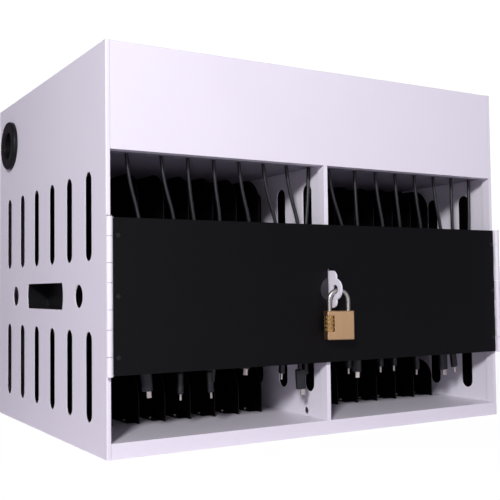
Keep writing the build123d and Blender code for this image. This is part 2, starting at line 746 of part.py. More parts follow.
# Body: a brass block with a bore for each leg and a window on its left edge for each dial
dial_levels = [dial_level - dial_pitch * i for i in range(dial_count)]
window_height = dial_thickness + 2 * dial_clearance
bore_radius = shackle_wire / 2 + shackle_clearance
with BuildPart() as padlock_body:
    with BuildSketch(lock_place.offset(lock_bottom)):
        Rectangle(lock_width, lock_thickness)
    extrude(amount=lock_height)
    chamfer(padlock_body.edges(), lock_corner * 0.5)
    with BuildSketch(lock_place.offset(lock_top)):
        with Locations((-crown_radius, 0)):
            Circle(bore_radius)
    extrude(amount=-(long_leg_depth + 2.0), mode=Mode.SUBTRACT)
    with BuildSketch(lock_place.offset(lock_top)):
        with Locations((crown_radius, 0)):
            Circle(bore_radius)
    extrude(amount=-(short_leg_depth + 1.0), mode=Mode.SUBTRACT)
    for level in dial_levels:
        with BuildSketch(lock_place.offset(level - window_height / 2)):
            with Locations((-crown_radius, 0)):
                Circle(dial_radius + 2 * dial_clearance)
            with Locations((-lock_width / 2 + dial_window / 2 - 1.0, 0)):
                Rectangle(dial_window, lock_thickness + 2.0)
        extrude(amount=window_height, mode=Mode.SUBTRACT)
save("padlock_body", padlock_body)

# Dials: knurled brass wheels on the long leg
knurl_count = 10
for number, level in enumerate(dial_levels, start=1):
    with BuildPart() as dial:
        with BuildSketch(lock_place.offset(level - dial_thickness / 2)):
            with Locations((-crown_radius, 0)):
                Circle(dial_radius)
                Circle(bore_radius, mode=Mode.SUBTRACT)
                with PolarLocations(dial_radius, knurl_count):
                    Circle(0.45, mode=Mode.SUBTRACT)
        extrude(amount=dial_thickness)
    save(f"padlock_dial_{number}", dial)
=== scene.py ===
from math import cos, radians, sin, tau

import bmesh
import bpy
from mathutils import Matrix, Vector


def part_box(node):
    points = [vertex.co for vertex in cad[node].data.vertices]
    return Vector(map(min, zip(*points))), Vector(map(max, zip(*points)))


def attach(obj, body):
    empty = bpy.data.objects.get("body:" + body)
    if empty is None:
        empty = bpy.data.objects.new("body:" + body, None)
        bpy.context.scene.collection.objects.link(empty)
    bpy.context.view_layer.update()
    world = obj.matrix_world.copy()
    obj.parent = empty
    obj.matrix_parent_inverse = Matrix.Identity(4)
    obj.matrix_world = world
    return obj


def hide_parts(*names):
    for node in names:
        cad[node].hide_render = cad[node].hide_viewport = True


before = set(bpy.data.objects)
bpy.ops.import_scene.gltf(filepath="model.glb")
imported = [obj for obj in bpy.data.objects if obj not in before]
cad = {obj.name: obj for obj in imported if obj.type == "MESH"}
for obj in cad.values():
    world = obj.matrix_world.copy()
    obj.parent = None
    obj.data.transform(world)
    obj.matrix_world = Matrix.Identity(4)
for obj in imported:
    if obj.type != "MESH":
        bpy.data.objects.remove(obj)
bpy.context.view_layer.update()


# Cabinet shell: 1.2 mm sheet steel, cut, folded and spot welded, with the hinge leaves and knuckles
# welded on. It is sprayed with white epoxy powder and baked, which leaves a satin film with a faint
# orange peel and softens each cut edge into a thin bright line.
def linear(hex_colour):
    """An sRGB hex colour as linear red, green, blue and alpha."""
    channels = [int(hex_colour[i : i + 2], 16) / 255 for i in (0, 2, 4)]
    return [c / 12.92 if c <= 0.04045 else ((c + 0.055) / 1.055) ** 2.4 for c in channels] + [1.0]


def new_material(name):
    """An empty node material of that name."""
    material = bpy.data.materials.new(name)
    material.use_nodes = True
    material.node_tree.nodes.clear()
    return material


def add_node(material, kind, inputs=None, **settings):
    """A shader node with its settings, and a value or a link on each named or numbered input."""
    node = material.node_tree.nodes.new("ShaderNode" + kind)
    for name, value in settings.items():
        setattr(node, name, value)
    for name, value in (inputs or {}).items():
        if isinstance(value, bpy.types.NodeSocket):
            material.node_tree.links.new(value, node.inputs[name])
        else:
            node.inputs[name].default_value = value
    return node


def per_metre(size_mm):
    """How many times a pattern of that size in millimetres repeats in a metre."""
    return 1000 / size_mm


def dress(material, *pieces):
    """Gives each piece this material alone."""
    for piece in pieces:
        piece.data.materials.clear()
        piece.data.materials.append(material)


peel_size = 1.6
peel_depth = 0.00003
coat_drift_size = 120
softened_edge = 0.0006
white_coat = new_material("white_powder_coated_steel")
place = add_node(white_coat, "TexCoord").outputs["Object"]
peel = add_node(
    white_coat, "TexNoise", {"Vector": place, "Scale": per_metre(peel_size), "Detail": 1.5}
)
drift = add_node(
    white_coat, "TexNoise", {"Vector": place, "Scale": per_metre(coat_drift_size), "Detail": 1.0}
)
film = add_node(
    white_coat, "Mix", {0: drift.outputs[0], 6: linear("E9E4F0"), 7: linear("EFEAF5")}, data_type="RGBA"
)
sheen = add_node(
    white_coat, "MapRange", {"Value": peel.outputs[0], "To Min": 0.36, "To Max": 0.46}
)
edge = add_node(white_coat, "Bevel", {"Radius": softened_edge}, samples=4)
relief = add_node(
    white_coat,
    "Bump",
    {"Height": peel.outputs[0], "Distance": peel_depth, "Strength": 0.5, "Normal": edge.outputs[0]},
)
surface = add_node(
    white_coat,
    "BsdfPrincipled",
    {
        "Base Color": film.outputs[2],
        "Roughness": sheen.outputs[0],
        "IOR": 1.5,
        "Normal": relief.outputs[0],
    },
)
add_node(white_coat, "OutputMaterial", {"Surface": surface.outputs[0]})
dress(
    white_coat,
    cad["base_tray"],
    cad["base_plate"],
    cad["left_side_panel"],
    cad["right_side_panel"],
    cad["back_panel"],
    cad["top_cover"],
    cad["centre_divider"],
    cad["left_fixed_knuckles"],
    cad["right_fixed_knuckles"],
    cad["left_door_leaf"],
    cad["right_door_leaf"],
)

# Handle cups and cable grommet: moulded black polypropylene, snapped into the side panels from
# outside. The mould's spark-eroded grain makes them dull, with only a soft grey sheen on the rims.
grain_size = 0.8
grain_depth = 0.00004
moulded_edge = 0.0008
black_moulding = new_material("spark_textured_black_polypropylene")
place = add_node(black_moulding, "TexCoord").outputs["Object"]
grain = add_node(
    black_moulding, "TexNoise", {"Vector": place, "Scale": per_metre(grain_size), "Detail": 3.0}
)
tint = add_node(
    black_moulding, "Mix", {0: grain.outputs[0], 6: linear("08070A"), 7: linear("100F12")}, data_type="RGBA"
)
edge = add_node(black_moulding, "Bevel", {"Radius": moulded_edge}, samples=4)
relief = add_node(
    black_moulding,
    "Bump",
    {"Height": grain.outputs[0], "Distance": grain_depth, "Strength": 0.6, "Normal": edge.outputs[0]},
)
surface = add_node(
    black_moulding,
    "BsdfPrincipled",
    {
        "Base Color": tint.outputs[2],
        "Roughness": 0.48,
        "IOR": 1.49,
        "Specular IOR Level": 0.25,
        "Normal": relief.outputs[0],
    },
)
add_node(black_moulding, "OutputMaterial", {"Surface": surface.outputs[0]})
dress(
    black_moulding,
    cad["left_handle_cup"],
    cad["right_handle_cup"],
    cad["cable_grommet"],
    cad["left_charging_hub"],
    cad["right_charging_hub"],
)

# Bay plates and door panel: the same folded sheet, sprayed with black powder. The film is smoother
# than the white one and semi-gloss, so it shows dim, stretched reflections of the room.
black_peel_size = 2.2
black_peel_depth = 0.00002
black_edge = 0.0004
black_coat = new_material("black_powder_coated_steel")
place = add_node(black_coat, "TexCoord").outputs["Object"]
peel = add_node(
    black_coat, "TexNoise", {"Vector": place, "Scale": per_metre(black_peel_size), "Detail": 1.5}
)
film = add_node(
    black_coat, "Mix", {0: peel.outputs[0], 6: linear("050508"), 7: linear("08080B")}, data_type="RGBA"
)
sheen = add_node(
    black_coat, "MapRange", {"Value": peel.outputs[0], "To Min": 0.42, "To Max": 0.5}
)
edge = add_node(black_coat, "Bevel", {"Radius": black_edge}, samples=4)
relief = add_node(
    black_coat,
    "Bump",
    {"Height": peel.outputs[0], "Distance": black_peel_depth, "Strength": 0.4, "Normal": edge.outputs[0]},
)
surface = add_node(
    black_coat,
    "BsdfPrincipled",
    {
        "Base Color": film.outputs[2],
        "Roughness": sheen.outputs[0],
        "IOR": 1.45,
        "Specular IOR Level": 0.22,
        "Normal": relief.outputs[0],
    },
)
add_node(black_coat, "OutputMaterial", {"Surface": surface.outputs[0]})
dress(black_coat, cad["left_bay_plates"], cad["right_bay_plates"], cad["door_panel"])


# Bay plates: seven black sheets in each bay, screwed down by a turned foot, that part the devices.
# They rise to just under the shelf. The finger scoop in the front edge is a guess, as the door hides
# it. The last plate on the right is cut deeper, clear of the handle cup.
def make_piece(bm, name, material, body, crease=35):
    """Turns a bmesh into a smooth piece that rides on a body and takes a slot's finish."""
    bmesh.ops.recalc_face_normals(bm, faces=bm.faces)
    mesh = bpy.data.meshes.new(name)
    bm.to_mesh(mesh)
    bm.free()
    mesh.shade_smooth()
    mesh.set_sharp_from_angle(angle=radians(crease))
    piece = bpy.data.objects.new(name, mesh)
    bpy.context.scene.collection.objects.link(piece)
    dress(material, piece)
    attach(piece, body)
    return piece


plate_thickness, plate_pitch, plates_per_bay = 0.001, 0.031, 7
plate_front, plate_back, plate_top = -0.097, 0.179, 0.29
foot_width, foot_setback = 0.01, 0.01
scoop_low, scoop_high, scoop_slope = 0.0563, 0.228, 0.044
scoop_back, scoop_back_at_cup = -0.045, 0.076
plate_rounding = {scoop_low: 0.0163, plate_top: 0.03, scoop_high: 0.012}
rounding_steps, same_place = 8, 1e-6
floor_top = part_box("left_bay_plates")[0].z
for side, first_x in (("left", -0.214), ("right", 0.052)):
    for count in range(plates_per_bay):
        middle_x = first_x + count * plate_pitch
        at_cup = side == "right" and count == plates_per_bay - 1
        scoop = scoop_back_at_cup if at_cup else scoop_back
        outline = (
            (plate_back, floor_top),
            (plate_front, floor_top),
            (plate_front, scoop_low),
            (scoop, scoop_low + scoop_slope),
            (scoop, scoop_high - scoop_slope),
            (plate_front, scoop_high),
            (plate_front, plate_top),
            (plate_back, plate_top),
        )
        bm = bmesh.new()
        corners = [bm.verts.new((middle_x - plate_thickness / 2, y, z)) for y, z in outline]
        bm.faces.new(corners)
        for level, cut in plate_rounding.items():
            corner = [
                v
                for v in bm.verts
                if abs(v.co.z - level) < same_place and abs(v.co.y - plate_front) < same_place
            ]
            bmesh.ops.bevel(
                bm,
                geom=corner,
                offset=cut,
                segments=rounding_steps,
                affect="VERTICES",
                profile=0.5,
                material=-1,
            )
        raised = bmesh.ops.extrude_face_region(bm, geom=bm.faces[:])["geom"]
        far_side = [part for part in raised if isinstance(part, bmesh.types.BMVert)]
        bmesh.ops.translate(bm, verts=far_side, vec=(plate_thickness, 0, 0))
        foot_depth = plate_back - plate_front - 2 * foot_setback
        foot = bmesh.ops.create_cube(bm, size=1)["verts"]
        bmesh.ops.scale(bm, verts=foot, vec=(foot_width, foot_depth, plate_thickness))
        bmesh.ops.translate(
            bm,
            verts=foot,
            vec=(
                middle_x - foot_width / 2,
                (plate_front + plate_back) / 2,
                floor_top + plate_thickness / 2,
            ),
        )
        plate = make_piece(
            bm, f"{side}_plate_{count + 1}", black_coat, "cabinet", crease=25
        )
        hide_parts(f"{side}_bay_plates")

# Power shelf: a flat steel sheet over both bays, with a slot for each cable, that carries the hubs
# and the supply. It has a matt powder coat, grey because its underside looks grey in the photograph.
shelf_coat = new_material("grey_powder_coated_steel")
place = add_node(shelf_coat, "TexCoord").outputs["Object"]
peel = add_node(shelf_coat, "TexNoise", {"Vector": place, "Scale": per_metre(peel_size), "Detail": 1.5})
film = add_node(
    shelf_coat, "Mix", {0: peel.outputs[0], 6: linear("86808E"), 7: linear("918B99")}, data_type="RGBA"
)
surface = add_node(
    shelf_coat, "BsdfPrincipled", {"Base Color": film.outputs[2], "Roughness": 0.55, "IOR": 1.5}
)
add_node(shelf_coat, "OutputMaterial", {"Surface": surface.outputs[0]})
dress(shelf_coat, cad["power_shelf"])

# Plate screws and hinge pin: cold-headed steel, barrel plated with bright zinc under a clear
# passivation, which adds a pale yellow-blue cast that shifts slowly over the metal.
cast_size = 3.0
zinc_plate = new_material("bright_zinc_plated_steel")
place = add_node(zinc_plate, "TexCoord").outputs["Object"]
cast = add_node(
    zinc_plate, "TexNoise", {"Vector": place, "Scale": per_metre(cast_size), "Detail": 1.0}
)
passivation = add_node(
    zinc_plate, "Mix", {0: cast.outputs[0], 6: linear("C9C0A6"), 7: linear("BCC1CC")}, data_type="RGBA"
)
haze = add_node(zinc_plate, "MapRange", {"Value": cast.outputs[0], "To Min": 0.24, "To Max": 0.36})
surface = add_node(
    zinc_plate,
    "BsdfPrincipled",
    {"Base Color": passivation.outputs[2], "Metallic": 1.0, "Roughness": haze.outputs[0]},
)
add_node(zinc_plate, "OutputMaterial", {"Surface": surface.outputs[0]})
dress(zinc_plate, cad["plate_screws"], cad["hinge_pin"])

# Power supply: a case of plain aluminium sheet, brushed along its length. The brushing shows as fine
# light and dark streaks along X.
brush_length = 60
brush_width = 0.5
brushed_aluminium = new_material("brushed_aluminium_case")
place = add_node(brushed_aluminium, "TexCoord").outputs["Object"]
along = add_node(
    brushed_aluminium,
    "Mapping",
    {"Vector": place, "Scale": (per_metre(brush_length), per_metre(brush_width), per_metre(brush_width))},
)
streaks = add_node(
    brushed_aluminium, "TexNoise", {"Vector": along.outputs[0], "Scale": 1.0, "Detail": 3.0}
)
metal = add_node(
    brushed_aluminium,
    "Mix",
    {0: streaks.outputs[0], 6: linear("B4B6B9"), 7: linear("CFD1D4")},
    data_type="RGBA",
)
rubbed = add_node(
    brushed_aluminium, "MapRange", {"Value": streaks.outputs[0], "To Min": 0.3, "To Max": 0.45}
)
surface = add_node(
    brushed_aluminium,
    "BsdfPrincipled",
    {"Base Color": metal.outputs[2], "Metallic": 1.0, "Roughness": rubbed.outputs[0]},
)
add_node(brushed_aluminium, "OutputMaterial", {"Surface": surface.outputs[0]})
dress(brushed_aluminium, cad["power_supply"])

# Charging cables: sixteen short leads with extruded black PVC jackets, plugged into the hubs. Each
# drops through its slot in the shelf and hangs behind the door. The jacket is smooth, with soft
# blue-grey highlights along it. A row holds the lead's length, its plug's turn and its route.
jacket_diameter = 0.004
jacket_ripple_size = 5
pvc_jacket = new_material("extruded_black_pvc_jacket")
place = add_node(pvc_jacket, "TexCoord").outputs["Object"]
ripple = add_node(
    pvc_jacket, "TexNoise", {"Vector": place, "Scale": per_metre(jacket_ripple_size), "Detail": 2.0}
)
tint = add_node(
    pvc_jacket, "Mix", {0: ripple.outputs[0], 6: linear("111216"), 7: linear("1A1C22")}, data_type="RGBA"
)
sheen = add_node(
    pvc_jacket, "MapRange", {"Value": ripple.outputs[0], "To Min": 0.34, "To Max": 0.44}
)
surface = add_node(
    pvc_jacket,
    "BsdfPrincipled",
    {"Base Color": tint.outputs[2], "Roughness": sheen.outputs[0], "IOR": 1.53},
)
add_node(pvc_jacket, "OutputMaterial", {"Surface": surface.outputs[0]})

cable_line, hub_level, straight_to = -0.165, 0.3119, 0.28
cable_routes = [
    (0.2336, -31, -0.225, [(-0.2085, -0.167, 0.222), (-0.214, -0.171, 0.172),
                           (-0.211, -0.172, 0.124), (-0.207, -0.17, 0.0805)]),
    (0.2395, 60, -0.187, [(-0.169, -0.167, 0.222), (-0.174, -0.163, 0.172),
                          (-0.166, -0.164, 0.124), (-0.1665, -0.165, 0.075)]),
    (0.2386, 60, -0.1564, [(-0.147, -0.163, 0.222), (-0.139, -0.168, 0.172),
                           (-0.141, -0.171, 0.124), (-0.136, -0.17, 0.075)]),
    (0.2306, 75, -0.1258, [(-0.1155, -0.164, 0.222), (-0.121, -0.158, 0.172),
                           (-0.117, -0.152, 0.126), (-0.1205, -0.15, 0.083)]),
    (0.2185, -31, -0.0952, [(-0.079, -0.165, 0.222), (-0.084, -0.161, 0.174),
                            (-0.081, -0.159, 0.135), (-0.0855, -0.16, 0.0955)]),
    (0.2258, 65, -0.0646, [(-0.045, -0.166, 0.222), (-0.049, -0.17, 0.174),
                           (-0.043, -0.171, 0.131), (-0.045, -0.17, 0.089)]),
    (0.2438, -25, -0.034, [(-0.017, -0.168, 0.222), (-0.023, -0.171, 0.172),
                           (-0.027, -0.173, 0.122), (-0.0235, -0.172, 0.0705)]),
    (0.2272, 80, -0.0034, [(-0.008, -0.164, 0.222), (-0.014, -0.16, 0.174),
                           (-0.0085, -0.159, 0.129), (-0.01, -0.161, 0.0855)]),
    (0.2264, 60, 0.024, [(0.045, -0.167, 0.222), (0.051, -0.171, 0.174),
                         (0.044, -0.172, 0.131), (0.045, -0.17, 0.0895)]),
    (0.2290, -31, 0.062, [(0.0665, -0.164, 0.222), (0.072, -0.162, 0.174),
                          (0.063, -0.164, 0.128), (0.0605, -0.165, 0.084)]),
    (0.2260, 65, 0.0926, [(0.1065, -0.165, 0.222), (0.102, -0.16, 0.174),
                          (0.101, -0.158, 0.131), (0.0995, -0.16, 0.0875)]),
    (0.2274, 60, 0.1232, [(0.1325, -0.164, 0.222), (0.137, -0.158, 0.174),
                          (0.129, -0.152, 0.13), (0.1295, -0.15, 0.0865)]),
    (0.2342, 60, 0.1538, [(0.1665, -0.164, 0.222), (0.17, -0.158, 0.172),
                          (0.162, -0.153, 0.126), (0.164, -0.151, 0.08)]),
    (0.2350, -10, 0.1844, [(0.197, -0.167, 0.222), (0.201, -0.166, 0.172),
                           (0.195, -0.164, 0.125), (0.197, -0.163, 0.0785)]),
    (0.2322, 25, 0.215, [(0.217, -0.164, 0.222), (0.222, -0.159, 0.172),
                         (0.214, -0.158, 0.126), (0.2165, -0.16, 0.0805)]),
    (0.1984, 30, 0.2456, [(0.244, -0.166, 0.222), (0.239, -0.16, 0.178),
                          (0.243, -0.156, 0.144), (0.2405, -0.154, 0.1145)]),
]
leads, plug_places = [], []
for number, (lead_length, plug_turn, socket_x, hang) in enumerate(cable_routes, start=1):
    route = [(socket_x, cable_line, hub_level), (socket_x, cable_line, straight_to), *hang]
    line = bpy.data.curves.new(f"lead_{number:02d}", "CURVE")
    line.dimensions = "3D"
    spline = line.splines.new("NURBS")
    spline.points.add(len(route) - 1)
    for point, position in zip(spline.points, route):
        point.co = (*position, 1.0)
    spline.order_u = 3
    spline.use_endpoint_u = True
    spline.resolution_u = 12
    line.bevel_depth = jacket_diameter / 2
    line.bevel_resolution = 3
    line.use_fill_caps = True
    line.materials.append(pvc_jacket)
    lead = bpy.data.objects.new(f"lead_{number:02d}", line)
    bpy.context.scene.collection.objects.link(lead)
    leads.append((lead, lead_length, route[0], f"cable_{number:02d}"))
    drop = (Vector(route[-1]) - Vector(route[-2])).normalized()
    across = Vector((cos(radians(plug_turn)), sin(radians(plug_turn)), 0))
    across = (across - drop * across.dot(drop)).normalized()
    facing = Matrix((across, drop.cross(across), drop)).transposed().to_4x4()
    plug_places.append(Matrix.Translation(route[-1]) @ facing)


# Plug grips: black thermoplastic elastomer, moulded over each cable end, with rounded shoulders and
# a stepped strain relief above. It is smooth, a little glossier than the jacket and slightly blue.
def raise_outline(bm, width, thickness, levels):
    """Raises a round-ended outline through levels, each a height and how far in its rim is drawn."""
    height, drawn_in = levels[0]
    rim = bmesh.ops.create_circle(bm, cap_ends=True, segments=26, radius=thickness / 2)["verts"]
    half_flat = (width - thickness) / 2
    bmesh.ops.translate(bm, verts=[v for v in rim if v.co.x > 0], vec=(half_flat, 0, 0))
    bmesh.ops.translate(bm, verts=[v for v in rim if v.co.x < -half_flat / 2], vec=(-half_flat, 0, 0))
    across_x, across_y = 1 - 2 * drawn_in / width, 1 - 2 * drawn_in / thickness
    bmesh.ops.scale(bm, verts=rim, vec=(across_x, across_y, 1))
    bmesh.ops.translate(bm, verts=rim, vec=(0, 0, height))
    top = rim[0].link_faces[0]
    for next_height, next_in in levels[1:]:
        raised = bmesh.ops.extrude_face_region(bm, geom=[top])["geom"]
        top = next(part for part in raised if isinstance(part, bmesh.types.BMFace))
        next_x, next_y = 1 - 2 * next_in / width, 1 - 2 * next_in / thickness
        bmesh.ops.translate(bm, verts=top.verts, vec=(0, 0, next_height - height))
        bmesh.ops.scale(bm, verts=top.verts, vec=(next_x / across_x, next_y / across_y, 1))
        height, across_x, across_y = next_height, next_x, next_y
    return top


grip_length, grip_width, grip_thickness = 0.022, 0.0115, 0.0065
relief_diameter, relief_length = 0.0052, 0.006
relief_rings, ring_pitch, flow_size = 3, 0.0018, 4
elastomer = new_material("smooth_black_elastomer")
place = add_node(elastomer, "TexCoord").outputs["Object"]
flow = add_node(elastomer, "TexNoise", {"Vector": place, "Scale": per_metre(flow_size), "Detail": 2.0})
tint = add_node(
    elastomer, "Mix", {0: flow.outputs[0], 6: linear("111319"), 7: linear("191B22")}, data_type="RGBA"
)
sheen = add_node(elastomer, "MapRange", {"Value": flow.outputs[0], "To Min": 0.3, "To Max": 0.4})
surface = add_node(
    elastomer,
    "BsdfPrincipled",
    {"Base Color": tint.outputs[2], "Roughness": sheen.outputs[0], "IOR": 1.5},
)
add_node(elastomer, "OutputMaterial", {"Surface": surface.outputs[0]})
for number, plug_place in enumerate(plug_places, start=1):
    bm = bmesh.new()
    raise_outline(
        bm,
        grip_width,
        grip_thickness,
        [
            (0, 0.0011),
            (0.0004, 0.0005),
            (0.0012, 0.0001),
            (0.0022, 0),
            (grip_length - 0.0014, 0),
            (grip_length - 0.0005, 0.0002),
            (grip_length - 0.0001, 0.0005),
            (grip_length, 0.0009),
        ],
    )
    steps = [(-relief_length, 0.0004)]
    for step in range(relief_rings):
        low = -relief_length + 0.0003 + step * ring_pitch
        steps += [(low, 0), (low + 0.0011, 0), (low + 0.0013, 0.0003), (low + 0.0016, 0.0003)]
    raise_outline(bm, relief_diameter, relief_diameter, [*steps, (0.0008, 0.0003)])
    bmesh.ops.transform(bm, matrix=plug_place, verts=bm.verts)
    grip = make_piece(bm, f"grip_{number:02d}", elastomer, "cabinet")
    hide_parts("plug_grips")

# Plug tongues: seamless shells of drawn stainless steel, pressed into the grips. They are open at
# the tip with a thin rolled rim, dark inside, and bright and slightly warm outside.
tongue_length, tongue_width, tongue_thickness = 0.0067, 0.0083, 0.0026
tongue_wall, tongue_floor = 0.00035, 0.001
draw_line_size = 1.2
drawn_steel = new_material("drawn_stainless_steel_shell")
place = add_node(drawn_steel, "TexCoord").outputs["Object"]
draw_lines = add_node(
    drawn_steel, "TexNoise", {"Vector": place, "Scale": per_metre(draw_line_size), "Detail": 3.0}
)
metal = add_node(
    drawn_steel,
    "Mix",
    {0: draw_lines.outputs[0], 6: linear("CDC6BE"), 7: linear("DDD8D2")},
    data_type="RGBA",
)
polish = add_node(
    drawn_steel, "MapRange", {"Value": draw_lines.outputs[0], "To Min": 0.26, "To Max": 0.4}
)
surface = add_node(
    drawn_steel,
    "BsdfPrincipled",
    {"Base Color": metal.outputs[2], "Metallic": 1.0, "Roughness": polish.outputs[0]},
)
add_node(drawn_steel, "OutputMaterial", {"Surface": surface.outputs[0]})
for number, plug_place in enumerate(plug_places, start=1):
    bm = bmesh.new()
    tip = grip_length + tongue_length
    raise_outline(
        bm,
        tongue_width,
        tongue_thickness,
        [
            (grip_length - 0.0005, 0),
            (tip - 0.0003, 0),
            (tip, 0.00012),
            (tip, tongue_wall),
            (grip_length + tongue_floor, tongue_wall),
        ],
    )
    bmesh.ops.transform(bm, matrix=plug_place, verts=bm.verts)
    tongue = make_piece(bm, f"tongue_{number:02d}", drawn_steel, "cabinet")
    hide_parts("plug_shells")
    lead, lead_length, start, node = leads[number - 1]
    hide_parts(node)
    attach(lead, "cabinet")

# Door rivets: six black lacquered steel rivets, three at each end, that hold the door to its hinge
# leaves. Their low domes are smooth and show as small bright points.
pooling_size = 1.5
lacquer = new_material("black_lacquered_steel_rivet")
place = add_node(lacquer, "TexCoord").outputs["Object"]
pooling = add_node(lacquer, "TexNoise", {"Vector": place, "Scale": per_metre(pooling_size), "Detail": 1.0})
sheen = add_node(lacquer, "MapRange", {"Value": pooling.outputs[0], "To Min": 0.25, "To Max": 0.35})
surface = add_node(
    lacquer,
    "BsdfPrincipled",
    {"Base Color": linear("0E0E11"), "Roughness": sheen.outputs[0], "IOR": 1.5},
)
add_node(lacquer, "OutputMaterial", {"Surface": surface.outputs[0]})
dress(lacquer, cad["door_rivets"])

# Wear disc: two half-moons of thin steel in dark grey lacquer, bonded to the door either side of its
# slot, where the padlock knocks. The lacquer is matt, with fine rub marks.
rub_size = 2.5
grey_guard = new_material("matt_grey_lacquered_steel")
place = add_node(grey_guard, "TexCoord").outputs["Object"]
rubs = add_node(grey_guard, "TexNoise", {"Vector": place, "Scale": per_metre(rub_size), "Detail": 4.0})
tint = add_node(
    grey_guard, "Mix", {0: rubs.outputs[0], 6: linear("242127"), 7: linear("38343C")}, data_type="RGBA"
)
surface = add_node(
    grey_guard,
    "BsdfPrincipled",
    {"Base Color": tint.outputs[2], "Roughness": 0.5, "IOR": 1.5},
)
add_node(grey_guard, "OutputMaterial", {"Surface": surface.outputs[0]})
dress(grey_guard, cad["wear_disc"])

# Padlock shackle: a bow bent from hardened steel rod, ground and nickel plated. Grinding leaves
# faint lengthwise bands in a pale, slightly warm grey metal.
band_size = 1.5
band_length = 12
nickel_plate = new_material("ground_nickel_plated_steel")
place = add_node(nickel_plate, "TexCoord").outputs["Object"]
bands = add_node(
    nickel_plate,
    "Mapping",
    {"Vector": place, "Scale": (per_metre(band_size), per_metre(band_size), per_metre(band_length))},
)
grind = add_node(nickel_plate, "TexNoise", {"Vector": bands.outputs[0], "Scale": 1.0, "Detail": 3.0})
metal = add_node(
    nickel_plate,
    "Mix",
    {0: grind.outputs[0], 6: linear("A9A8A2"), 7: linear("CBCAC4")},
    data_type="RGBA",
)
polish = add_node(nickel_plate, "MapRange", {"Value": grind.outputs[0], "To Min": 0.22, "To Max": 0.36})
surface = add_node(
    nickel_plate,
    "BsdfPrincipled",
    {"Base Color": metal.outputs[2], "Metallic": 1.0, "Roughness": polish.outputs[0]},
)
add_node(nickel_plate, "OutputMaterial", {"Surface": surface.outputs[0]})
dress(nickel_plate, cad["padlock_shackle"])

# Padlock body: a sawn and drilled block of solid brass, belt-brushed upright and clear lacquered.
# The brushing shows as upright streaks, and the broken edges catch a paler line.
brass_streak, brass_streak_length = 0.35, 25
brush_depth, broken_edge = 0.00002, 0.0009
brushed_brass = new_material("brushed_solid_brass")
place = add_node(brushed_brass, "TexCoord").outputs["Object"]
upright = add_node(
    brushed_brass,
    "Mapping",
    {
        "Vector": place,
        "Scale": (per_metre(brass_streak), per_metre(brass_streak), per_metre(brass_streak_length)),
    },
)
streaks = add_node(brushed_brass, "TexNoise", {"Vector": upright.outputs[0], "Scale": 1.0, "Detail": 3.0})
metal = add_node(
    brushed_brass,
    "Mix",
    {0: streaks.outputs[0], 6: linear("BE9973"), 7: linear("D8B68E")},
    data_type="RGBA",
)
rubbed = add_node(brushed_brass, "MapRange", {"Value": streaks.outputs[0], "To Min": 0.34, "To Max": 0.5})
edge = add_node(brushed_brass, "Bevel", {"Radius": broken_edge}, samples=6)
relief = add_node(
    brushed_brass,
    "Bump",
    {"Height": streaks.outputs[0], "Distance": brush_depth, "Strength": 0.4, "Normal": edge.outputs[0]},
)
surface = add_node(
    brushed_brass,
    "BsdfPrincipled",
    {
        "Base Color": metal.outputs[2],
        "Metallic": 1.0,
        "Roughness": rubbed.outputs[0],
        "Normal": relief.outputs[0],
    },
)
add_node(brushed_brass, "OutputMaterial", {"Surface": surface.outputs[0]})
dress(brushed_brass, cad["padlock_body"])

# Padlock dials: turned brass wheels on the long leg, notched between the numbers. The metal is bare
# and fairly bright, with fine tool marks.
dial_count, tool_mark_size = 4, 0.8
turned_brass = new_material("turned_brass_dial")
place = add_node(turned_brass, "TexCoord").outputs["Object"]
tool_marks = add_node(
    turned_brass, "TexNoise", {"Vector": place, "Scale": per_metre(tool_mark_size), "Detail": 2.0}
)
metal = add_node(
    turned_brass,
    "Mix",
    {0: tool_marks.outputs[0], 6: linear("B79257"), 7: linear("D8B678")},
    data_type="RGBA",
)
surface = add_node(
    turned_brass,
    "BsdfPrincipled",
    {"Base Color": metal.outputs[2], "Metallic": 1.0, "Roughness": 0.32},
)
add_node(turned_brass, "OutputMaterial", {"Surface": surface.outputs[0]})
dial_nodes = [cad[f"padlock_dial_{number}"] for number in range(1, dial_count + 1)]
dress(turned_brass, *dial_nodes)

